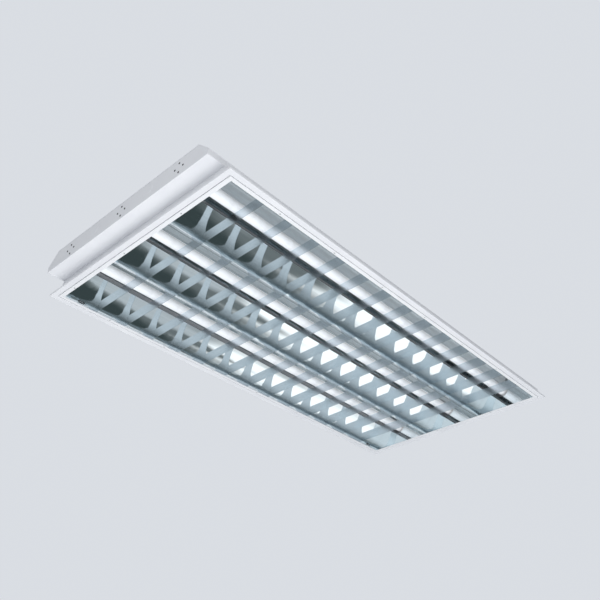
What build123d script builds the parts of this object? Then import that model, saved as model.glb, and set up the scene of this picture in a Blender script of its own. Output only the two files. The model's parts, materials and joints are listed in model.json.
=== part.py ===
"""Recessed troffer light for three tubular lamps, with a hinged mirror louvre.

Millimetres. +Z points up into the ceiling, +X runs along the lamps, and the origin is the
centre of the flange's visible face, which rests on the ceiling tees at z = 0.
"""
import os
from math import hypot

from build123d import *

# ---- module and shell ----
flange_width = 595.0
flange_face = 12.8            # flat face, from the outer lip to the opening
lip_height = 5.0
steel = 0.8
bend = 0.6                    # inside bend radius of the sheet steel
shell_height = 80.0
shell_length = 1256.8         # over the raised ends
raised_end = 30.9             # shell beyond the flange at each end
wall_inset = 29.2             # upright side walls inside the flange's outer edge
chamfer_width = 30.5          # from the upright side walls to the flat top
wall_straight = 6.0           # upright part of the opening, before the side walls slope in
chamfer_height = 30.1         # from the upright side walls up to the inside of the flat top
end_depth = 44.4              # raised ends, from their underside to the inside of the top
plate_flange = 13.0           # turned-in flange of the end plates
ledge_lip = 4.0               # turned-up edge of the ledge, behind the end plate

# ---- lamps ----
lamp_count = 3
lamp_drop = 23.7              # lamp axis below the inside of the shell's top
lamp_radius = 13.0
glass_radius = 12.8
glass_wall = 0.8
cap_length = 12.0
pin_spacing = 12.7
pin_radius = 1.175
pin_length = 7.0

# ---- louvre ----
frame_gap = 1.5               # shadow gap between flange and louvre frame
frame_face = 8.4              # visible width of a louvre rail on the long sides
end_frame_face = 9.6          # the same on the short ends
frame_recess = 0.3            # louvre frame above the flange's visible face
rail_thickness = 1.0
rail_height = 6.0
end_rail_web = 14.0           # top of the taller middle part of the end rails
end_rail_web_inset = 15.2     # that part stops short of the frame's corners
mirror = 0.5                  # mirror sheet
blade_count = 13
end_cell = 85.5               # last blade to end reflector
blade_height = 27.0
blade_thickness = 0.6
reflector_drop = 21.0         # mirror walls end this far below the inside of the top
lean_at_top = 49.8            # how far a mirror wall has leaned over at its top edge
ridge_half_width = 0.8
slip = 0.2                    # clearance between louvre pieces that slot together
foot_width = 6.0
tab_length = 3.0
tab_height = 8.0
tab_rise = 9.45               # tab above the frame
tab_margin = 1.0              # beyond the sheet at a tab's slot
notch_radius = 22.0           # lamp hole in an end reflector
notch_flare = 6.0             # how much wider the hole is at the top edge

# ---- top reflectors ----
top_reflector_gap = 1.28      # outer feet to the shell's chamfers
top_reflector_drop = 4.5      # below the inside of the shell's top
top_reflector_foot = 5.0
top_reflector_inset = 48.4    # ends inside the shell's ends

# ---- lampholders ----
holder_depth = 27.6           # face to back
holder_radius = 14.0
holder_skirt = 15.0           # holder body below the lamp axis
holder_base = 31.0
holder_base_thickness = 3.0
rotor_radius = 8.5
rotor_thickness = 8.4
rotor_slot = 2.8
rotor_back = 1.0              # unslotted back of a rotor
running = 0.3                 # between rotor and holder, and lamp cap and holder
screw_cross = 12.0            # screws above, below and beside the lamp axis
screw_radius = 1.5
screw_head_radius = 2.1
screw_head_height = 0.6
screw_length = 6.0
cap_chamfer = 0.8

# ---- control gear ----
ballast_length = 280.0
ballast_width = 40.0
ballast_height = 21.0
ballast_foot = 10.0
ballast_foot_thickness = 1.2
ballast_corner = 2.0
gear_screw_head_height = 1.6
connector_length = 18.0
connector_width = 30.0
connector_height = 12.0
connector_gap = 1.0           # between a connector and its ballast's case
connector_ways = 5
wire_hole_radius = 1.2
wire_hole_depth = 6.0
terminal_length = 42.0
terminal_width = 20.0
terminal_height = 16.0
terminal_ways = 3
terminal_hole_radius = 1.6    # wire ways through the block
terminal_screw_radius = 1.8   # screw wells from below
terminal_screw_depth = 3.0
terminal_spacing = 50.0       # terminals to earth stud
earth_spacing = 50.0          # earth stud to cable entry
earth_stud_radius = 2.0
earth_stud_length = 10.0
earth_nut_radius = 4.0
earth_nut_height = 2.5
earth_washer_radius = 4.5
earth_washer_thickness = 1.0
entry_inset = 198.4           # cable entry inside the shell's far end
entry_radius = 7.0            # bore of the cable grommet
grommet_wall = 3.0
grommet_flange = 3.0          # height of each flange
grommet_overlap = 2.0         # how far the flanges cover the sheet
wire_radius = 1.5
wire_offset = 15.0            # from the middle of the gear space
wire_bend = 20.0
wire_drop_bend = 3.5          # where a lead turns down to its lampholder
wire_gap = 2.0                # from a ballast's foot
wire_drop = 4.2               # mains lead below the lamp leads
mains_offset = 9.0
mains_past_mirror = 6.0       # where the mains lead crosses, past the top reflectors
hanger_inset = 128.4          # hanger holes inside the shell's ends, over the gear spaces
hanger_hole_radius = 3.25
knockout_radius = 10.0
knockout_emboss = 0.4
knockout_rise = 4.0           # above the lamp axis
seam = 0.2                    # between sheets that meet edge to face

# ---- hinge and catches ----
hinge_inset = 2.9             # pin axis inside the frame's outer edge
hinge_rise = 2.1              # and above its visible face
hinge_pin_radius = 1.2
hinge_clearance = 0.08
hinge_pin_stand = 1.2         # pin past the end wall
hinge_head_thickness = 0.8
hinge_head_ratio = 1.5
bolt_height = 6.0
bolt_thickness = 3.0
bolt_length = 44.0
bolt_bottom = 4.2
bolt_side_gap = 0.5           # behind the mirror wall
bolt_throw = 5.0              # travel that frees the louvre
bolt_reach = 3.0              # how far the tip stands past the end wall
bolt_tip = 2.4                # height of the bevelled tip
bolt_clearance = 0.3
bolt_shoulder = 0.4           # full height of the tip past the end wall
catch_hole_length = 18.0
catch_hole_height = 6.0
catch_inset = 43.1            # middle of the oblong hole inside the end reflector
tab_reach = 1.4               # finger tab in front of the mirror wall
tab_gap = 1.6                 # above and below the finger tab in its hole
guide_length = 26.0
guide_sheet = 0.6
guide_gap = 0.3
spring_stop = 1.0             # thickness of the stop behind the spring
spring_length = 11.0
spring_radius = 1.5
spring_wire = 0.25
spring_turns = 7

rivet_radius = 1.6
rivet_head_radius = 3.2
rivet_head_height = 0.9
rivet_depth = 2.0             # how deep a rivet hole is drilled
rivet_edge = 0.6              # rounding of a rivet's head
rivet_out = 3.7               # rivet line behind the mirror faces
shell_rivet_count = 5         # at each end
over = 1.0                    # how far a cut runs past what it cuts

# ---- worked out from the sizes above ----
flange_length = shell_length - 2 * raised_end
half_x = flange_length / 2
half_y = flange_width / 2
open_x = half_x - flange_face
open_y = half_y - flange_face
wall_y = half_y - wall_inset - steel              # inside of the upright side walls
top_y = wall_y - chamfer_width + steel * 0.6
ceiling = shell_height - steel                    # inside of the shell's top
end_x = shell_length / 2
ledge_height = ceiling - end_depth                # underside of the raised ends
ledge_top = ledge_height + steel
slope_top = ledge_height - steel                  # where the sloping side walls turn upright
chamfer_start = ceiling - chamfer_height
lamp_axis_height = ceiling - lamp_drop
entry_x = end_x - entry_inset
earth_x = entry_x - earth_spacing
terminal_x = earth_x - terminal_spacing

frame_x = open_x - frame_gap
frame_y = open_y - frame_gap
mirror_x = frame_x - end_frame_face               # face of the end reflectors
mirror_y = frame_y - frame_face                   # foot of the side reflectors' faces
frame_bottom = frame_recess
frame_top = frame_bottom + rail_thickness         # mirror pieces start here
reflector_top = ceiling - reflector_drop
reflector_height = reflector_top - frame_top
blade_top = frame_top + blade_height
lap_height = frame_top + blade_height / 2

lamp_length = shell_length - 2 * (steel + holder_depth + running)        # cap face to cap face
lamp_pitch = 2 * mirror_y / lamp_count
lamp_y = [(i - (lamp_count - 1) / 2) * lamp_pitch for i in range(lamp_count)]
ridge_y = [(y + lamp_y[i + 1]) / 2 for i, y in enumerate(lamp_y[:-1])]
blade_pitch = 2 * (mirror_x - end_cell) / (blade_count - 1)
blade_x = [(i - (blade_count - 1) / 2) * blade_pitch for i in range(blade_count)]
top_reflector_half = top_y - lamp_y[-1] - top_reflector_foot - top_reflector_gap
top_reflector_length = shell_length - 2 * top_reflector_inset
catch_x = mirror_x - catch_inset
hinge_y = -(frame_y - hinge_inset)
hinge_z = frame_bottom + hinge_rise
ends = {"near": -1, "far": 1}


# ---- helpers ----
def beside(points, distance):
    """The open outline moved to its left by distance, with mitred corners."""
    moved = []
    for i, (x, y) in enumerate(points):
        x0, y0 = points[max(i - 1, 0)]
        x1, y1 = points[max(i, 1)]
        x2, y2 = points[min(i, len(points) - 2)]
        x3, y3 = points[min(i + 1, len(points) - 1)]
        first, second = hypot(x1 - x0, y1 - y0), hypot(x3 - x2, y3 - y2)
        ax, ay = -(y1 - y0) / first, (x1 - x0) / first
        bx, by = -(y3 - y2) / second, (x3 - x2) / second
        reach = distance / (1 + ax * bx + ay * by)
        moved.append((x + (ax + bx) * reach, y + (ay + by) * reach))
    return moved


def turns_left(points, i):
    """Whether the outline turns left at its inner point i."""
    (x0, y0), (x1, y1), (x2, y2) = points[i - 1 : i + 2]
    return (x1 - x0) * (y2 - y1) - (y1 - y0) * (x2 - x1) > 0


def sheet(points, thickness, plane, half_length, bend_radius=bend):
    """A folded sheet: the outline is one skin, the other lies to its left."""
    other = beside(points, thickness)
    left = [turns_left(points, i) for i in range(1, len(points) - 1)]
    # The other skin lies inside a left turn, so there the given skin has the larger radius.
    skin = FilletPolyline(*points, radius=[bend_radius + thickness * turn for turn in left])
    back = FilletPolyline(*other, radius=[bend_radius + thickness * (not turn) for turn in left])
    outline = skin.edges() + back.edges()
    outline += [Line(points[0], other[0]).edge(), Line(points[-1], other[-1]).edge()]
    return extrude(plane * make_face(outline), amount=half_length, both=True)


def block(x0, x1, y0, y1, z0, z1):
    """A box between two corners, given in any order."""
    size = abs(x1 - x0), abs(y1 - y0), abs(z1 - z0)
    return Pos((x0 + x1) / 2, (y0 + y1) / 2, (z0 + z1) / 2) * Box(*size)


def rod(start, end, radius):
    """A round bar from one point to another."""
    run = Vector(end) - Vector(start)
    frame = Plane(origin=start, z_dir=run)
    return frame * Cylinder(radius, run.length, align=(Align.CENTER, Align.CENTER, Align.MIN))


def prism(points, plane, low, high):
    """A polygon in the plane, extruded from low to high along the plane's normal."""
    face = plane.offset(low) * make_face(Polyline(*points, close=True))
    return extrude(face, amount=high - low)


def mirrored(side, *points):
    """Points with their first coordinate multiplied by side."""
    return [(side * a, b) for a, b in points]


def save(name, shape):
    """One STEP file for one piece or one group of identical pieces."""
    solids = shape.solids() if hasattr(shape, "solids") else [s for p in shape for s in p.solids()]
    export_step(solids[0] if len(solids) == 1 else Compound(children=list(solids)), f"parts/{name}.step")


# ---- shell ----
def corner_triangle(sx, sy, of_pan):
    """The half of a flange corner, beyond its mitre, that belongs to the other piece."""
    reach = flange_face + 2 * over
    inner = (sx * open_x, sy * open_y)
    outer = (sx * (open_x + reach), sy * (open_y + reach))
    side = (sx * (open_x + reach), sy * open_y) if of_pan else (sx * open_x, sy * (open_y + reach))
    return prism([inner, outer, side], Plane.XY, -over, ledge_height - 2 * over)


def slope_at(height):
    """Half width of the opening between the side walls at a height."""
    share = (height - wall_straight) / (slope_top - wall_straight)
    return open_y + (wall_y - open_y) * min(max(share, 0), 1)


def body_pan():
    right = [
        (half_y, lip_height), (half_y, 0), (open_y, 0), (open_y, wall_straight),
        (wall_y, slope_top), (wall_y, chamfer_start), (top_y, ceiling),
    ]
    outline = right + [(-y, z) for y, z in reversed(right)]
    # Run from the right lip over the top to the left one, the outside lies to the right.
    outline = outline[::-1]
    pan = sheet(outline, steel, Plane.YZ, end_x)
    for sx in ends.values():
        past = sx * (end_x + over)
        pan -= block(sx * open_x, past, -open_y, open_y, -over, slope_top)
        pan -= block(sx * half_x, past, -half_y - over, half_y + over, -over, slope_top - 2 * over)
        pan -= block(sx * open_x, past, -open_y - 2 * over, open_y + 2 * over, steel, slope_top)
        for sy in (-1, 1):
            pan -= corner_triangle(sx, sy, True)
    for point in hanger_points():
        pan -= Pos(*point) * Cylinder(hanger_hole_radius, 4 * steel)
    pan -= Pos(entry_x, ridge_y[-1], shell_height) * Cylinder(grommet_radius(), 4 * steel)
    return drilled(pan, shell_rivet_points())


def hanger_points():
    x = end_x - hanger_inset
    return [(sx * x, y, shell_height) for sx in ends.values() for y in (ridge_y[0], ridge_y[-1])]


def grommet_radius():
    return entry_radius + grommet_wall


def end_channel(sx):
    outline = mirrored(
        sx, (half_x, lip_height), (half_x, 0), (open_x, 0), (open_x, ledge_top),
        (end_x - 2 * steel, ledge_top), (end_x - 2 * steel, ledge_top + ledge_lip),
    )
    # At the far end the room side has the sheet on its right, so the run is reversed.
    channel = sheet(outline if sx < 0 else outline[::-1], steel, Plane.XZ, half_y)
    for sy in (-1, 1):
        channel -= corner_triangle(sx, sy, False)
        outside = [
            (sy * open_y, steel), (sy * slope_at(wall_straight), wall_straight),
            (sy * wall_y, slope_top), (sy * wall_y, shell_height),
            (sy * (half_y + over), shell_height), (sy * (half_y + over), steel),
        ]
        low, high = sorted((sx * (open_x - over), sx * (half_x - steel - bend)))
        channel -= prism(outside, Plane.YZ, low, high)
        channel -= block(sx * (open_x + 2 * over), sx * (end_x + over), sy * wall_y, sy * (half_y + over),
                         lip_height + over, shell_height)
    inside, outside = sx * (open_x - over), sx * (open_x + steel + over)
    channel -= block(inside, outside, bolt_face_y() - bolt_clearance,
                     bolt_face_y() + bolt_thickness + bolt_clearance,
                     bolt_bottom - bolt_clearance, bolt_bottom + bolt_height + bolt_clearance)
    pin_hole = hinge_pin_radius + hinge_clearance
    channel -= rod((inside, hinge_y, hinge_z), (outside, hinge_y, hinge_z), pin_hole)
    return channel


def end_plate(sx):
    bottom = ledge_height - steel
    outline = mirrored(
        sx, (end_x - plate_flange, bottom), (end_x, bottom),
        (end_x, ceiling), (end_x - plate_flange, ceiling),
    )
    plate = sheet(outline if sx > 0 else outline[::-1], steel, Plane.XZ, wall_y - seam)
    chamfer = [
        (wall_y - seam, chamfer_start), (top_y - seam, ceiling), (top_y - seam, shell_height),
        (half_y, shell_height), (half_y, chamfer_start),
    ]
    low, high = sorted((sx * (end_x - plate_flange - over), sx * (end_x + over)))
    for sy in (-1, 1):
        plate -= prism(mirrored(sy, *chamfer), Plane.YZ, low, high)
    for y in lamp_y:
        for dy, dz in screw_offsets():
            at = y + dy, lamp_axis_height + dz
            plate -= rod((sx * (end_x + over), *at), (sx * (end_x - 2 * over), *at), screw_radius + running)
    for y in ridge_y:
        z = lamp_axis_height + knockout_rise
        disc = rod((sx * (end_x - steel / 2), y, z), (sx * (end_x + knockout_emboss), y, z), knockout_radius)
        plate += disc
    return drilled(plate, shell_rivet_points())


def screw_offsets():
    return [(screw_cross, 0), (-screw_cross, 0), (0, screw_cross), (0, -screw_cross)]


# ---- mirror walls ----
def wall_points(foot, side, behind):
    """Foot, tangent corner and top of a wall's parabola, moved behind the mirror by a distance.

    side is the way the wall leans, and foot is its y where it stands upright on the frame."""
    length = hypot(reflector_height, 2 * lean_at_top)
    top_x = lean_at_top - behind * reflector_height / length
    top_z = reflector_height + behind * 2 * lean_at_top / length
    corner_z = top_z - (top_x + behind) * reflector_height / (2 * lean_at_top)
    local = [(-behind, 0), (-behind, corner_z), (top_x, top_z)]
    return [(foot + side * x, frame_top + z) for x, z in local]


def wall_lean(height):
    """How far a mirror face leans over at a height above its foot."""
    return lean_at_top * (height / reflector_height) ** 2


def between_walls(left_foot, left_side, right_foot, right_side, behind, low=None, high=None):
    """The region between two mirror walls, cut level at low and high."""
    left = wall_points(left_foot, left_side, behind)
    right = wall_points(right_foot, right_side, behind)
    edges = [Bezier(*left), Bezier(*right)]
    edges += [Line(left[0], right[0]), Line(left[2], right[2])]
    face = make_face(edges)
    if low is not None:
        face &= level_band(low, high)
    return face


def level_band(low, high):
    """Everything between two heights."""
    return Pos(0, (low + high) / 2) * Rectangle(flange_width, high - low)


def across(face, x0, x1):
    """A face drawn across the lamps, in y and z, extruded from x0 to x1."""
    return extrude(Plane.YZ.offset(min(x0, x1)) * face, amount=abs(x1 - x0))


def trough_region(behind, low, high):
    """Everything between the two side reflectors."""
    return between_walls(-mirror_y, 1, mirror_y, -1, behind, low, high)


def ridge_region(y, behind):
    """A centre reflector's outline, or its hollow when behind is the sheet's thickness."""
    return between_walls(y - ridge_half_width, -1, y + ridge_half_width, 1, behind)


def centre_reflector(y):
    half = mirror_x - slip
    shape = across(ridge_region(y, 0), -half, half)
    # The two walls are one sheet, folded at the foot, so the hollow starts above the fold.
    hollow = ridge_region(y, mirror) & level_band(frame_top + mirror, reflector_top + over)
    shape -= across(hollow, -half - over, half + over)
    reach = wall_lean(blade_height) + 2 * over
    for x in blade_x:
        width = blade_thickness / 2 + slip
        shape -= block(x - width, x + width, y - reach, y + reach, frame_bottom, lap_height + slip)
    return shape


def side_reflector(side):
    face = wall_points(side * mirror_y, -side, 0)
    back = wall_points(side * mirror_y, -side, mirror)
    edges = [Bezier(*face), Bezier(*back), Line(face[0], back[0]), Line(face[2], back[2])]
    wall = make_face(edges) & level_band(frame_top, reflector_top)
    half = mirror_x + mirror
    shape = across(wall, -half, half)
    shape += block(-half, half, side * (mirror_y + mirror / 2), side * (mirror_y + foot_width),
                   frame_top, frame_top + mirror)
    for x in blade_x:
        width = blade_thickness / 2 + slip
        shape -= block(x - width, x + width, side * (mirror_y + over), side * (mirror_y - tab_reach_in()),
                       tab_bottom() - slip, tab_bottom() + tab_height + slip)
    if side > 0:
        for sx in ends.values():
            outline = Pos(sx * catch_x, bolt_middle()) * SlotOverall(catch_hole_length, catch_hole_height)
            hole = extrude(Plane.XZ.offset(-mirror_y - 2 * over) * outline, amount=tab_reach_in() + 4 * over)
            shape -= hole
    return drilled(shape, louvre_rivet_points())


def tab_bottom():
    return frame_top + tab_rise


def tab_reach_in():
    return wall_lean(tab_rise + tab_height) + tab_margin


def cross_blade(x):
    face = trough_region(-slip, frame_top, blade_top)
    for y in ridge_y:
        face -= ridge_region(y, -slip) & level_band(lap_height, reflector_top)
    blade = across(face, x - blade_thickness / 2, x + blade_thickness / 2)
    for side in (-1, 1):
        root = mirror_y - tab_reach_in() - tab_margin
        tip = mirror_y - wall_lean(tab_rise + tab_height / 2) + mirror + tab_length / 2
        blade += block(x - blade_thickness / 2, x + blade_thickness / 2, side * root, side * tip,
                       tab_bottom(), tab_bottom() + tab_height)
    return blade


def lamp_notch(y):
    """Open-topped hole for a lamp: a half circle below the axis and flared sides above it."""
    above = reflector_top + over - lamp_axis_height
    flare = notch_flare * above / (reflector_top - lamp_axis_height)
    wide = notch_radius + flare
    flared = [(-notch_radius, 0), (notch_radius, 0), (wide, above), (-wide, above)]
    shape = Circle(notch_radius) + make_face(Polyline(*flared, close=True))
    return Pos(y, lamp_axis_height) * shape


def end_reflector(sx):
    face = trough_region(-slip, frame_top, reflector_top)
    for y in lamp_y:
        face -= lamp_notch(y)
    plate = across(face, sx * mirror_x, sx * (mirror_x + mirror))
    foot = mirror_y - foot_width
    plate += block(sx * (mirror_x + mirror), sx * (mirror_x + foot_width + mirror), -foot, foot,
                   frame_top, frame_top + mirror)
    return drilled(plate, louvre_rivet_points())


# ---- louvre frame ----
def long_rail(side):
    outline = mirrored(side, (mirror_y, frame_bottom), (frame_y, frame_bottom),
                       (frame_y, frame_bottom + rail_height))
    rail = sheet(outline if side > 0 else outline[::-1], rail_thickness, Plane.YZ, frame_x, bend / 2)
    for sx in ends.values():
        inner, outer = (sx * mirror_x, side * mirror_y), (sx * frame_x, side * frame_y)
        beyond = (sx * (2 * frame_x - mirror_x), side * (2 * frame_y - mirror_y))
        rail -= prism([inner, beyond, (beyond[0], inner[1])], Plane.XY, 0, end_rail_web)
        rail -= block(inner[0], beyond[0], inner[1] - side * over, inner[1], 0, end_rail_web)
    return drilled(rail, louvre_rivet_points())


def end_rail(sx):
    outline = mirrored(sx, (mirror_x, frame_bottom), (frame_x, frame_bottom),
                       (frame_x, frame_bottom + rail_height))
    rail = sheet(outline[::-1] if sx < 0 else outline, rail_thickness, Plane.XZ, frame_y, bend / 2)
    for side in (-1, 1):
        inner = (sx * mirror_x, side * mirror_y)
        beyond = (sx * (2 * frame_x - mirror_x), side * (2 * frame_y - mirror_y))
        rail -= prism([inner, beyond, (inner[0], beyond[1])], Plane.XY, 0, end_rail_web)
    web = frame_y - end_rail_web_inset
    rail += block(sx * (frame_x - rail_thickness), sx * frame_x, -web, web,
                  frame_bottom + rail_height / 2, end_rail_web)
    inside, outside = sx * (frame_x - rail_thickness - bend), sx * (frame_x + over)
    rail -= block(inside, outside, bolt_face_y() - bolt_clearance,
                  bolt_face_y() + bolt_thickness + bolt_clearance,
                  bolt_bottom - bolt_clearance, end_rail_web)
    rail -= rod((inside, hinge_y, hinge_z), (outside, hinge_y, hinge_z), hinge_pin_radius)
    return drilled(rail, louvre_rivet_points())


def hinge_pin(sx):
    """A headed pin from inside the end rail, through the shell's end wall."""
    inside = frame_x - rail_thickness
    tip = open_x + steel + hinge_pin_stand
    head_radius = hinge_pin_radius * hinge_head_ratio
    pin = rod((sx * inside, hinge_y, hinge_z), (sx * tip, hinge_y, hinge_z), hinge_pin_radius)
    back = inside - hinge_head_thickness
    head = rod((sx * back, hinge_y, hinge_z), (sx * inside, hinge_y, hinge_z), head_radius)
    head &= block(sx * (back - over), sx * (inside + over), hinge_y - 2 * head_radius,
                  hinge_y + 2 * head_radius, frame_top + bend, hinge_z + 2 * head_radius)
    return pin + head


# ---- catches ----
def bolt_face_y():
    """The side of the catch bolt that runs behind the mirror wall."""
    return mirror_y - wall_lean(bolt_bottom - frame_top) + mirror + bolt_side_gap


def bolt_middle():
    return bolt_bottom + bolt_height / 2


def tab_width():
    """The finger tab fills its hole but for the bolt's throw on both sides."""
    return catch_hole_length - 2 * bolt_throw - 2 * guide_gap


def catch_tail():
    return catch_x - bolt_length / 2 + steel + bolt_reach


def catch_bolt(sx):
    tip = open_x + steel + bolt_reach
    tail = catch_tail()
    y0, y1 = bolt_face_y(), bolt_face_y() + bolt_thickness
    full = open_x + steel + bolt_shoulder
    low, high = bolt_bottom, bolt_bottom + bolt_height
    middle = bolt_middle()
    side = mirrored(sx, (tail, low), (full, low), (tip, middle - bolt_tip / 2),
                    (tip, middle + bolt_tip / 2), (full, high), (tail, high))
    bolt = extrude(Plane.XZ.offset(-y1) * make_face(Polyline(*side, close=True)), amount=y1 - y0)
    lean = wall_lean(middle - frame_top)
    half_tab = tab_width() / 2
    rise = catch_hole_height / 2 - tab_gap
    bolt += block(sx * (catch_x - half_tab), sx * (catch_x + half_tab), y0,
                  mirror_y - lean - tab_reach, middle - rise, middle + rise)
    return bolt


def catch_guide(sx):
    """A folded bracket on the long rail that carries the bolt and stops its spring."""
    low = frame_top + mirror
    riser = bolt_face_y() + bolt_thickness + guide_gap
    roof = bolt_bottom + bolt_height + guide_gap
    outline = [(bolt_face_y(), roof), (riser, roof), (riser, low), (mirror_y + foot_width, low)]
    middle = sx * (open_x - guide_length)
    guide = Pos(middle, 0, 0) * sheet(outline, guide_sheet, Plane.YZ, guide_length / 2, 0)
    stop = catch_tail() - spring_length - spring_stop
    guide += block(sx * stop, sx * (stop + spring_stop), bolt_face_y() + bolt_side_gap,
                   riser + guide_sheet, low, roof)
    guide += block(sx * stop, middle, riser, riser + guide_sheet, low, roof)
    guide += block(sx * stop, middle, riser, mirror_y + foot_width, low, low + guide_sheet)
    return guide


def catch_spring(sx):
    """A compression spring between the bolt's tail and the guide's stop."""
    pitch = (spring_length - 2 * running - 2 * spring_wire) / spring_turns
    start = catch_tail() - spring_length + running + spring_wire
    height = pitch * spring_turns
    path = Helix(pitch, height, spring_radius - spring_wire)
    section = Plane(origin=path @ 0, z_dir=path % 0) * Circle(spring_wire)
    coil = sweep(section, path=path, is_frenet=True)
    axis = Plane(origin=(sx * start, bolt_face_y() + bolt_thickness / 2, bolt_middle()), z_dir=(sx, 0, 0))
    return axis * coil


# ---- mirrors above the lamps ----
def top_reflector(y):
    low = ceiling - top_reflector_drop
    half = top_reflector_half
    foot = half + top_reflector_foot
    high = ceiling - mirror
    outline = [
        (y - foot, high), (y - half, high), (y - half, low),
        (y + half, low), (y + half, high), (y + foot, high),
    ]
    return sheet(outline, mirror, Plane.YZ, top_reflector_length / 2, bend)


# ---- lamps and lampholders ----
def holder_face():
    return lamp_length / 2 + running


def lampholder(y, sx):
    """An end-mounted holder: a round-topped body on a square base, open below for the pins."""
    front, back = sx * holder_face(), sx * (end_x - steel)
    base_face = back - sx * holder_base_thickness
    recess_end = front + sx * (rotor_thickness + running)
    below = Pos(0, -holder_skirt / 2)
    outline = Circle(holder_radius) + below * Rectangle(2 * holder_radius, holder_skirt)
    entry = below * Rectangle(rotor_slot + 2 * running, holder_skirt + 2 * over)
    recess = Circle(rotor_radius + running)
    place = Pos(y, lamp_axis_height)
    body = across(place * outline, front, base_face)
    body -= across(place * recess, front - sx * over, recess_end)
    body -= across(place * entry, front - sx * over, recess_end)
    holder = body + across(place * Rectangle(holder_base, holder_base), base_face, back)
    for dy, dz in screw_offsets():
        at = y + dy, lamp_axis_height + dz
        holder -= rod((back + sx * over, *at), (back - sx * screw_length, *at), screw_radius)
    return holder


def lamp_rotors(y):
    """The turning inserts of both lampholders, slotted for the lamp's pins."""
    rotors = []
    for sx in ends.values():
        disc = Circle(rotor_radius)
        face = disc - Rectangle(rotor_slot, 2 * rotor_radius + 2 * over).rotate(Axis.Z, 90)
        place = Pos(y, lamp_axis_height)
        start = holder_face() + running
        stop = start + rotor_thickness - running
        middle = stop - running - rotor_back
        rotors.append(across(place * face, sx * start, sx * middle)
                      + across(place * disc, sx * middle, sx * stop))
    return rotors


def lamp_tube(y):
    """A thin glass tube, open at both ends where the caps close it."""
    half = lamp_length / 2 - cap_length
    tube = rod((-half, y, lamp_axis_height), (half, y, lamp_axis_height), glass_radius)
    bore = glass_radius - glass_wall
    return tube - rod((-half - over, y, lamp_axis_height), (half + over, y, lamp_axis_height), bore)


def lamp_caps(y):
    """Both end caps, each with its two pins, on the ends of the glass."""
    caps = []
    for sx in ends.values():
        face = sx * lamp_length / 2
        cap = rod((face - sx * cap_length, y, lamp_axis_height), (face, y, lamp_axis_height), lamp_radius)
        cap = chamfer(cap.edges().sort_by(Axis.X)[-1 if sx > 0 else 0], cap_chamfer)
        for side in (-1, 1):
            at = (y + side * pin_spacing / 2, lamp_axis_height)
            cap += rod((face - sx * over, *at), (face + sx * pin_length, *at), pin_radius)
        caps.append(cap)
    return caps


def lampholder_screws():
    screws = []
    for sx in ends.values():
        for y in lamp_y:
            for dy, dz in screw_offsets():
                at = y + dy, lamp_axis_height + dz
                head = rod((sx * end_x, *at), (sx * (end_x + screw_head_height), *at), screw_head_radius)
                shank = rod((sx * (end_x - screw_length), *at), (sx * end_x, *at), screw_radius)
                screws.append(head + shank)
    return screws


# ---- control gear ----
def ballast(y):
    half, wide = ballast_length / 2, ballast_width / 2
    case = block(-half, half, y - wide, y + wide, ceiling - ballast_height, ceiling)
    case = fillet(case.edges().filter_by(Axis.X).group_by(Axis.Z)[0], ballast_corner)
    for sx in ends.values():
        far = sx * (half + ballast_foot)
        foot = block(sx * half, far, y - wide, y + wide, ceiling - ballast_foot_thickness, ceiling)
        middle = sx * (half + ballast_foot / 2)
        foot -= Pos(middle, y, ceiling) * Cylinder(screw_radius, 3 * ballast_foot_thickness)
        case += foot
        bottom = ceiling - ballast_height
        case -= block(sx * (half - connector_length), sx * (half + over), y - connector_width / 2,
                      y + connector_width / 2, bottom - over, bottom + connector_height)
    return case


def ballast_connectors():
    """Push-in terminal blocks at both ends of both ballasts."""
    blocks = []
    low = ceiling - ballast_height
    for y in ridge_y:
        for sx in ends.values():
            half, wide = ballast_length / 2, connector_width / 2
            front = half - connector_gap
            body = block(sx * (half - connector_length), sx * front, y - wide, y + wide,
                         low + connector_gap, low + connector_height)
            for i in range(connector_ways):
                at = y - wide + connector_width * (i + 0.5) / connector_ways, low + connector_height / 2
                body -= rod((sx * (front - wire_hole_depth), *at), (sx * half, *at), wire_hole_radius)
            blocks.append(body)
    return blocks


def gear_screws():
    """The screws in the ballasts' feet and in the terminal block."""
    screws = []
    low = ceiling - ballast_foot_thickness
    foot_x = (ballast_length + ballast_foot) / 2
    places = [(sx * foot_x, y, low) for y in ridge_y for sx in ends.values()]
    places += [(terminal_x, ridge_y[-1], ceiling - terminal_height)]
    for x, y, z in places:
        head = rod((x, y, z), (x, y, z - gear_screw_head_height), 2 * screw_radius)
        screws.append(head + rod((x, y, z), (x, y, ceiling), screw_radius))
    return screws


def terminal_block():
    y = ridge_y[-1]
    low = ceiling - terminal_height
    half, wide = terminal_length / 2, terminal_width / 2
    body = block(terminal_x - half, terminal_x + half, y - wide, y + wide, low, ceiling)
    pitch = terminal_length / (terminal_ways + 1)
    for i in range(terminal_ways + 1):
        x = terminal_x + (i - terminal_ways / 2) * pitch
        at = low + terminal_height / 3
        body -= rod((x, y - terminal_width, at), (x, y + terminal_width, at), terminal_hole_radius)
        for side in (-1, 1):
            well = y + side * terminal_width / 4
            body -= rod((x, well, low - over), (x, well, low + terminal_screw_depth), terminal_screw_radius)
    return body - rod((terminal_x, y, low - over), (terminal_x, y, ceiling + over), screw_radius)


def earth_stud():
    y = ridge_y[-1]
    nut_low = ceiling - earth_washer_thickness - earth_nut_height
    washer = rod((earth_x, y, ceiling - earth_washer_thickness), (earth_x, y, ceiling), earth_washer_radius)
    nut = Pos(earth_x, y, nut_low) * extrude(RegularPolygon(earth_nut_radius, 6), amount=earth_nut_height)
    stud = rod((earth_x, y, ceiling - earth_stud_length), (earth_x, y, ceiling), earth_stud_radius)
    return washer + nut + stud


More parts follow.
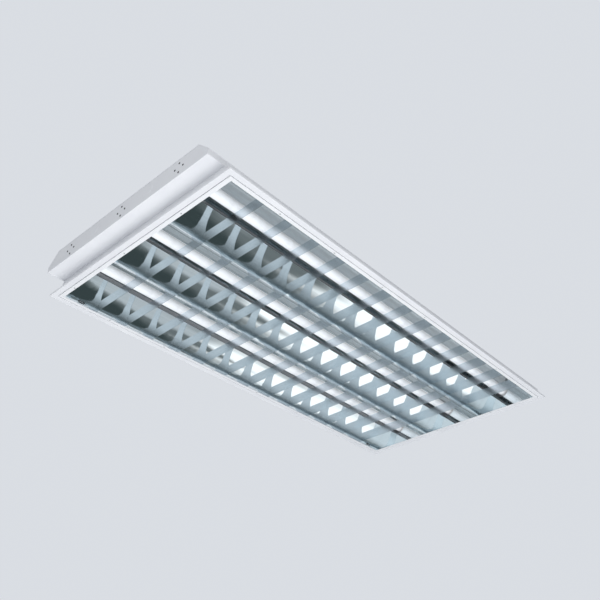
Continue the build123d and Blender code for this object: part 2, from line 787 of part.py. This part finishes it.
def cable_grommet():
    """A rubber bush in the cable entry, with a flange on both sides of the sheet."""
    y = ridge_y[-1]
    low, high = ceiling - grommet_flange, shell_height + grommet_flange
    flange = grommet_radius() + grommet_overlap
    bush = rod((entry_x, y, low), (entry_x, y, high), grommet_radius())
    bush += rod((entry_x, y, low), (entry_x, y, ceiling), flange)
    bush += rod((entry_x, y, shell_height), (entry_x, y, high), flange)
    return bush - rod((entry_x, y, low - over), (entry_x, y, high + over), entry_radius)


def wiring_harness():
    """Sleeved leads clipped under the shell's top: one to each lampholder, and the mains leads."""
    leads = []
    z = ceiling - wire_radius
    start = ballast_length / 2 + ballast_foot + wire_gap
    drop_x = holder_face() + rotor_thickness + wire_radius
    served = [(ridge_y[0], lamp_y[0]), (ridge_y[0], lamp_y[1]), (ridge_y[1], lamp_y[2])]
    for ridge, lamp in served:
        y = ridge + (wire_offset if lamp > ridge else -wire_offset)
        for sx in ends.values():
            route = [(sx * start, y, z), (sx * drop_x, y, z), (sx * drop_x, lamp, z),
                     (sx * drop_x, lamp, lamp_axis_height + holder_radius)]
            leads.append(lead(route, [wire_bend, wire_drop_bend]))
    low = z - wire_drop
    terminals = terminal_x + terminal_length / 2 + running
    beside_gear = [ridge_y[1] - mains_offset, ridge_y[0] + mains_offset]
    cross_x = top_reflector_length / 2 + mains_past_mirror
    leads.append(lead([(terminals, beside_gear[0], low), (cross_x, beside_gear[0], low),
                       (cross_x, beside_gear[1], low), (start, beside_gear[1], low)],
                      [wire_bend, wire_bend]))
    near_terminals = terminal_x - terminal_length / 2 - running
    leads.append(lead([(start, ridge_y[1], low), (near_terminals, ridge_y[1], low)], []))
    return leads


def lead(route, radii):
    """A round lead along straight runs joined by tangent arcs."""
    path = FilletPolyline(*route, radius=radii) if radii else Line(*route)
    section = Plane(origin=path @ 0, z_dir=path % 0) * Circle(wire_radius)
    return sweep(section, path=path)


# ---- rivets ----
def drilled(shape, points):
    """The shape with a rivet hole at each point, straight up and down."""
    for x, y, z in points:
        shape -= Pos(x, y, z) * Cylinder(rivet_radius, 2 * rivet_depth)
    return shape


def shell_rivet_points():
    """Through the shell's top and the end plates' upper flanges."""
    x = end_x - plate_flange / 2
    step = 2 * top_y / shell_rivet_count
    along = [(i - (shell_rivet_count - 1) / 2) * step for i in range(shell_rivet_count)]
    return [(sx * x, y, shell_height) for sx in ends.values() for y in along]


def louvre_rivet_points():
    """On the reflectors' feet, down through the louvre frame."""
    z = frame_top + mirror
    side_y, far_x = mirror_y + rivet_out, mirror_x + rivet_out
    along = [(a + b) / 2 for a, b in zip(blade_x[:-1:2], blade_x[1::2])]
    points = [(x, side * side_y, z) for side in (-1, 1) for x in along]
    return points + [(sx * far_x, y + lamp_pitch / 4, z) for sx in ends.values() for y in lamp_y]


def rivets(points, depth):
    """Domed heads on top of the sheets, with their shanks in the holes."""
    dome = Cylinder(rivet_head_radius, rivet_head_height, align=(Align.CENTER, Align.CENTER, Align.MIN))
    dome = fillet(dome.edges().group_by(Axis.Z)[-1], rivet_edge)
    shank = Cylinder(rivet_radius, depth, align=(Align.CENTER, Align.CENTER, Align.MAX))
    return [Pos(*point) * (dome + shank) for point in points]


# ---- write every piece ----
os.makedirs("parts", exist_ok=True)
save("body_pan", body_pan())
for end, sx in ends.items():
    save(f"end_channel_{end}", end_channel(sx))
    save(f"end_plate_{end}", end_plate(sx))
    save(f"louvre_rail_{end}", end_rail(sx))
    save(f"end_reflector_{end}", end_reflector(sx))
    save(f"catch_bolt_{end}", catch_bolt(sx))
    save(f"catch_spring_{end}", catch_spring(sx))
save("louvre_rail_hinge_side", long_rail(-1))
save("louvre_rail_catch_side", long_rail(1))
save("side_reflector_hinge_side", side_reflector(-1))
save("side_reflector_catch_side", side_reflector(1))
for i, y in enumerate(ridge_y, 1):
    save(f"centre_reflector_{i}", centre_reflector(y))
    save(f"ballast_{i}", ballast(y))
for i, x in enumerate(blade_x, 1):
    save(f"cross_blade_{i:02d}", cross_blade(x))
for i, y in enumerate(lamp_y, 1):
    save(f"top_reflector_{i}", top_reflector(y))
    save(f"lampholders_{i}", [lampholder(y, sx) for sx in ends.values()])
    save(f"lamp_{i}_tube", lamp_tube(y))
    save(f"lamp_{i}_caps", lamp_caps(y))
    save(f"lamp_{i}_rotors", lamp_rotors(y))
save("hinge_pins", [hinge_pin(sx) for sx in ends.values()])
save("catch_guides", [catch_guide(sx) for sx in ends.values()])
save("ballast_connectors", ballast_connectors())
save("gear_screws", gear_screws())
save("terminal_block", terminal_block())
save("earth_stud", earth_stud())
save("cable_grommet", cable_grommet())
save("lampholder_screws", lampholder_screws())
save("shell_rivets", rivets(shell_rivet_points(), 2 * steel))
save("louvre_rivets", rivets(louvre_rivet_points(), mirror + rail_thickness))
save("wiring_harness", wiring_harness())
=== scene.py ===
import json
import bpy
import numpy as np
from mathutils import Matrix, Vector

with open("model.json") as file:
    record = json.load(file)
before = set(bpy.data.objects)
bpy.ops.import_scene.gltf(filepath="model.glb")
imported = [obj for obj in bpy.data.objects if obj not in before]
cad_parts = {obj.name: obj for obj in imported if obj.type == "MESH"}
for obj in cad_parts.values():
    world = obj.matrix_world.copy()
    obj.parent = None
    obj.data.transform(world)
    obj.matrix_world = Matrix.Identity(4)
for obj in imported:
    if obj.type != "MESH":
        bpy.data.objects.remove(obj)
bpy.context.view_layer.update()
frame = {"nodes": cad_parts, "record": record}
nodes = frame["nodes"]
print("frame loaded,", len(nodes), "nodes")

mmPerMetre = 1000
noiseSpan = (0.3, 0.7)  # where nearly all of the noise lies


def hexColour(code):
    # sRGB hex to linear: a power of 2.4 above the dark toe, a straight line inside it
    channels = np.array([int(code[i:i + 2], 16) for i in (0, 2, 4)]) / 255
    linear = np.where(channels > 0.04045, ((channels + 0.055) / 1.055) ** 2.4, channels / 12.92)
    return (*linear.tolist(), 1.0)


def addNode(tree, kind, inputs=None, **settings):
    # inputs are values, or output sockets to link from
    node = tree.nodes.new(kind)
    for name, value in settings.items():
        setattr(node, name, value)
    for key, value in (inputs or {}).items():
        if isinstance(value, bpy.types.NodeSocket):
            tree.links.new(value, node.inputs[key])
        else:
            node.inputs[key].default_value = value
    return node


def newMaterial(name):
    material = bpy.data.materials.new(name)
    material.use_nodes = True
    tree = material.node_tree
    shader = tree.nodes["Principled BSDF"]
    return material, tree, shader


def stretchedNoise(tree, grain, detail=3.0):
    # noise on Object coordinates; grain is its size in mm along x, y and z
    place = addNode(tree, "ShaderNodeTexCoord")
    mapping = addNode(tree, "ShaderNodeMapping", {
        "Vector": place.outputs["Object"],
        "Scale": tuple(mmPerMetre / side for side in grain),
    })
    return addNode(tree, "ShaderNodeTexNoise", {
        "Vector": mapping.outputs["Vector"], "Scale": 1.0, "Detail": detail,
    }).outputs["Fac"]


def spread(tree, noise, low, high):
    return addNode(tree, "ShaderNodeMapRange", {
        "Value": noise, "From Min": noiseSpan[0], "From Max": noiseSpan[1],
        "To Min": low, "To Max": high,
    }).outputs["Result"]


def tint(tree, noise, dark, light):
    ramp = addNode(tree, "ShaderNodeValToRGB", {"Fac": noise})
    for stop, place, code in zip(ramp.color_ramp.elements, noiseSpan, (dark, light)):
        stop.position = place
        stop.color = hexColour(code)
    return ramp.outputs["Color"]


def bump(tree, height, depth):
    # depth in mm
    return addNode(tree, "ShaderNodeBump", {
        "Height": height, "Distance": depth / mmPerMetre,
    }).outputs["Normal"]


def gridMesh(name, points):
    # a grid of points, u by v by 3, made into quads
    rows, columns = points.shape[:2]
    u, v = np.meshgrid(np.arange(rows - 1), np.arange(columns - 1), indexing="ij")
    first = u * columns + v
    quads = np.stack((first, first + columns, first + columns + 1, first + 1), -1)
    mesh = bpy.data.meshes.new(name)
    mesh.from_pydata(points.reshape(-1, 3), [], quads.reshape(-1, 4))
    return mesh


# sizes of grain and depth are in mm, and each roughness runs from low to high with the noise
enamel = {
    "dark": "EDEEF1", "light": "F4F5F7", "mottle": 90, "roughness": (0.34, 0.42),
    "peel": 1.6, "peelDetail": 1.0, "depth": 0.02, "ior": 1.5,
}
frameEnamel = {**enamel, "dark": "F3F4F6", "light": "F8F9FA"}


def stoveEnamel(name, look):
    # white stove enamel, sprayed on sheet steel: the eye gets a soft satin white, broad and faint
    # mottling, and a fine orange peel in the highlights
    material, tree, shader = newMaterial(name)
    broad = stretchedNoise(tree, (look["mottle"],) * 3)
    peel = stretchedNoise(tree, (look["peel"],) * 3, look["peelDetail"])
    tree.links.new(tint(tree, broad, look["dark"], look["light"]), shader.inputs["Base Color"])
    tree.links.new(spread(tree, broad, *look["roughness"]), shader.inputs["Roughness"])
    tree.links.new(bump(tree, peel, look["depth"]), shader.inputs["Normal"])
    shader.inputs["IOR"].default_value = look["ior"]
    return material


# the walls are rolled along the lamps, and the blades across them
mirrorSheet = {
    "dark": "E2E9EC", "light": "EEF3F5", "roughness": (0.05, 0.08),
    "grain": (90, 1.2, 1.2), "depth": 0.0006,
}
satinSheet = {
    "dark": "D2DAE0", "light": "DDE4E9", "roughness": (0.2, 0.24),
    "grain": (1.2, 60, 1.2), "depth": 0.0008,
}


def rolledAluminium(name, look):
    # rolled and anodised aluminium: long faint rolling lines that draw reflections out
    material, tree, shader = newMaterial(name)
    lines = stretchedNoise(tree, look["grain"])
    tree.links.new(tint(tree, lines, look["dark"], look["light"]), shader.inputs["Base Color"])
    tree.links.new(spread(tree, lines, *look["roughness"]), shader.inputs["Roughness"])
    tree.links.new(bump(tree, lines, look["depth"]), shader.inputs["Normal"])
    shader.inputs["Metallic"].default_value = 1.0
    return material


smallPiece = {"mottle": 6, "gritDetail": 2.0, "roughnessSpan": 0.05}


def plainFinish(name, dark, light, roughness, grit, depth, metallic=0.0):
    # one finish for small pieces: a little mottling, and grit in the surface
    material, tree, shader = newMaterial(name)
    span = smallPiece["roughnessSpan"]
    mottle = stretchedNoise(tree, (smallPiece["mottle"],) * 3)
    grain = stretchedNoise(tree, (grit,) * 3, smallPiece["gritDetail"])
    tree.links.new(tint(tree, mottle, dark, light), shader.inputs["Base Color"])
    tree.links.new(spread(tree, grain, roughness - span, roughness + span),
                   shader.inputs["Roughness"])
    tree.links.new(bump(tree, grain, depth), shader.inputs["Normal"])
    shader.inputs["Metallic"].default_value = metallic
    return material


# the lamp is not lit: "glow" and its strength are a painted glow over the whole tube, not light
# from it
glass = {
    "dark": "F2F6FA", "light": "F8FAFC", "powder": (14, 3, 3), "roughness": 0.5,
    "gloss": 0.04, "glow": "F4F8FC", "paintedGlowStrength": 0.25,
}


def phosphorGlass(name, look):
    # glass over white phosphor powder: matt white body under a clear gloss. The tube is not lit,
    # and a weak painted glow over all of it lifts its shaded side
    material, tree, shader = newMaterial(name)
    powder = stretchedNoise(tree, look["powder"])
    tree.links.new(tint(tree, powder, look["dark"], look["light"]), shader.inputs["Base Color"])
    shader.inputs["Roughness"].default_value = look["roughness"]
    shader.inputs["Coat Weight"].default_value = 1.0
    shader.inputs["Coat Roughness"].default_value = look["gloss"]
    # painted glow on an unlit tube, standing in for light that its shaded side does not get
    shader.inputs["Emission Color"].default_value = hexColour(look["glow"])
    shader.inputs["Emission Strength"].default_value = look["paintedGlowStrength"]
    return material


# a finish for each of the record's slots; the plain ones give dark and light colour, roughness,
# grit and depth in mm, and 1 for metal
finishes = {
    "shell_white": stoveEnamel("shellStoveEnamel", enamel),
    "frame_white": stoveEnamel("frameStoveEnamel", frameEnamel),
    "mirror_sheet": rolledAluminium("brightAnodisedAluminium", mirrorSheet),
    "blade_sheet": rolledAluminium("satinAnodisedAluminium", satinSheet),
    "lamp_glass": phosphorGlass("phosphorCoatedGlass", glass),
    "lamp_cap": plainFinish("drawnAluminiumCap", "B9BCBE", "CDD0D2", 0.3, 0.8, 0.004, 1.0),
    "holder_plastic": plainFinish("mouldedPolycarbonate", "EEEEEA", "F4F4F1", 0.42, 0.5, 0.008),
    "ballast_case": plainFinish("coatedSteelCase", "DADDDE", "E3E5E6", 0.4, 0.7, 0.008),
    "plated_steel": plainFinish("zincPlatedSteel", "B4B8BA", "CFD2D3", 0.28, 0.6, 0.004, 1.0),
    "dark_screw": plainFinish("blackPhosphatedSteel", "141414", "1E1E1E", 0.5, 0.4, 0.006),
    "rivet": plainFinish("blindRivetAluminium", "BFC2C4", "D2D4D5", 0.32, 0.5, 0.004, 1.0),
    "rubber": plainFinish("mouldedRubber", "161616", "202020", 0.6, 0.6, 0.01),
    "lead_sleeve": plainFinish("wovenGlassSleeve", "DADAD6", "EDEDE9", 0.6, 0.5, 0.02),
}
for piece in frame["record"]["subparts"]:
    dressed = nodes[piece["node"]]
    dressed.data.materials.clear()
    dressed.data.materials.append(finishes[piece["material_slot"]])
print("materials made:", len(finishes))

floorLook = {"half": 7.0, "height": -2.55, "colour": "DADDE2", "roughness": 0.9}
floorMesh = bpy.data.meshes.new("studioFloor")
floorMesh.from_pydata([(x * floorLook["half"], y * floorLook["half"], floorLook["height"])
                       for x, y in ((-1, -1), (1, -1), (1, 1), (-1, 1))], [], [(0, 1, 2, 3)])
floor = bpy.data.objects.new("studioFloor", floorMesh)
bpy.context.scene.collection.objects.link(floor)
floorMaterial, floorTree, floorShader = newMaterial("paperFloor")
floorShader.inputs["Base Color"].default_value = hexColour(floorLook["colour"])
floorShader.inputs["Roughness"].default_value = floorLook["roughness"]
floorMesh.materials.append(floorMaterial)

# dim tent with soft panels, which only mirrors see; angles in degrees, azimuth from +X towards
# +Y, and the brightness is 1 for white
tentLook = {
    "radius": 2.4, "top": 6, "columns": 240, "rows": 96, "cloth": (0.16, 0.185, 0.19),
    "panels": (  # azimuth, half width, soft edge, elevation, half height, soft edge, brightness
        (-90, 32, 14, -30, 40, 10, (0.045, 0.062, 0.064)),
        (-160, 25, 20, -36, 27, 16, (0.78, 0.84, 0.88)),
        (-34, 19, 16, -10, 18, 8, (0.46, 0.52, 0.55)),
        (-22, 23, 24, -33, 12, 6, (1.25, 1.3, 1.32)),
        (-17, 11, 9, -49, 9, 7, (1.25, 1.3, 1.32)),
        (-30, 20, 12, -68, 10, 6, (0.5, 0.55, 0.58)),
        (48, 24, 14, -30, 16, 10, (0.34, 0.38, 0.4)),
        (150, 18, 12, -34, 16, 10, (0.42, 0.47, 0.5)),
    ),
}


def lightTent(name, look):
    # a globe below "top": x = R cos(el) cos(az), y = R cos(el) sin(az), z = R sin(el), and its
    # brightness mixes from panel to panel by smooth steps in azimuth and elevation
    azimuth, elevation = np.meshgrid(
        np.linspace(-180, 180, look["columns"] + 1),
        np.linspace(-90, look["top"], look["rows"] + 1), indexing="ij")
    az, el = np.radians(azimuth), np.radians(elevation)
    globe = np.stack((np.cos(el) * np.cos(az), np.cos(el) * np.sin(az), np.sin(el)), -1)
    glow = np.ones(globe.shape) * look["cloth"]
    for centre, halfWidth, sideSoft, middle, halfHeight, endSoft, brightness in look["panels"]:
        across = np.abs((azimuth - centre + 180) % 360 - 180) - halfWidth
        along = np.abs(elevation - middle) - halfHeight
        inside = np.clip(0.5 - across / sideSoft, 0, 1) * np.clip(0.5 - along / endSoft, 0, 1)
        inside = (inside ** 2 * (3 - 2 * inside))[..., None]
        glow = glow * (1 - inside) + np.array(brightness) * inside
    mesh = gridMesh(name, look["radius"] * globe)
    colours = mesh.color_attributes.new("glow", "FLOAT_COLOR", "POINT")
    opaque = np.ones(glow.shape[:2] + (1,))
    colours.data.foreach_set("color", np.concatenate((glow, opaque), -1).ravel())
    tent = bpy.data.objects.new(name, mesh)
    bpy.context.scene.collection.objects.link(tent)
    material = bpy.data.materials.new("tentCloth")
    material.use_nodes = True
    tree = material.node_tree
    tree.nodes.remove(tree.nodes["Principled BSDF"])
    cloth = addNode(tree, "ShaderNodeAttribute", attribute_name="glow")
    shine = addNode(tree, "ShaderNodeEmission", {"Color": cloth.outputs["Color"], "Strength": 1.0})
    tree.links.new(shine.outputs["Emission"], tree.nodes["Material Output"].inputs["Surface"])
    mesh.materials.append(material)
    for kind in ("camera", "diffuse", "transmission", "volume_scatter", "shadow"):
        setattr(tent, "visible_" + kind, False)


lightTent("greyTent", tentLook)
print("floor and tent up")

# square area lights, in metres and watts, which neither the camera nor the mirrors see
studioLights = {
    "keyBelow": {"place": (-0.4, -0.5, -2.3), "aim": (0, 0, 0), "side": 2.6, "power": 54},
    "sideCorner": {"place": (-1.9, -1.5, 0.15), "aim": (-0.6, -0.2, 0.05), "side": 0.7, "power": 9},
    "overhead": {"place": (0.5, 0.6, 3.2), "aim": (0, 0, 0), "side": 2.6, "power": 50},
}
for name, look in studioLights.items():
    light = bpy.data.lights.new(name, "AREA")
    light.shape = "RECTANGLE"
    light.size = light.size_y = look["side"]
    light.energy = look["power"]
    lamp = bpy.data.objects.new(name, light)
    bpy.context.scene.collection.objects.link(lamp)
    lamp.location = look["place"]
    aim = Vector(look["aim"]) - Vector(look["place"])
    lamp.rotation_euler = aim.to_track_quat("-Z", "Y").to_euler()
    lamp.visible_glossy = False
    lamp.visible_camera = False

# the world is the pale background for camera, mirrors and glass, and a softer fill for the rest
worldLook = {"colour": "E4E8EE", "background": 0.9, "fill": 0.5}
world = bpy.data.worlds.new("studioWorld")
bpy.context.scene.world = world
world.use_nodes = True
worldTree = world.node_tree
rays = addNode(worldTree, "ShaderNodeLightPath")
direct = addNode(worldTree, "ShaderNodeMath", {
    0: rays.outputs["Is Camera Ray"], 1: rays.outputs["Is Glossy Ray"]}, operation="MAXIMUM")
seen = addNode(worldTree, "ShaderNodeMath", {
    0: direct.outputs[0], 1: rays.outputs["Is Transmission Ray"]}, operation="MAXIMUM")
strength = addNode(worldTree, "ShaderNodeMapRange", {
    "Value": seen.outputs[0], "To Min": worldLook["fill"], "To Max": worldLook["background"]})
backdrop = worldTree.nodes["Background"]
backdrop.inputs["Color"].default_value = hexColour(worldLook["colour"])
worldTree.links.new(strength.outputs["Result"], backdrop.inputs["Strength"])

# the photograph's place and angle, worked out from the flange's four corners
cameraLook = {
    "place": (-1.2047, -1.0319, -0.9511), "ahead": (0.60146, 0.55561, 0.57406),
    "upward": (-0.42587, -0.38497, 0.81880), "sensor": 36, "lens": 43.95, "reach": 60,
}
camera = bpy.data.objects.new("camera", bpy.data.cameras.new("camera"))
bpy.context.scene.collection.objects.link(camera)
ahead = Vector(cameraLook["ahead"]).normalized()
sideways = ahead.cross(Vector(cameraLook["upward"])).normalized()
upward = sideways.cross(ahead)
camera.matrix_world = Matrix.Translation(cameraLook["place"]) @ Matrix((
    (sideways.x, upward.x, -ahead.x), (sideways.y, upward.y, -ahead.y),
    (sideways.z, upward.z, -ahead.z))).to_4x4()
camera.data.sensor_width = cameraLook["sensor"]
camera.data.lens = cameraLook["lens"]
camera.data.clip_end = cameraLook["reach"]
bpy.context.scene.camera = camera
bpy.context.scene.view_settings.view_transform = "Standard"
print("lights, world and camera set")
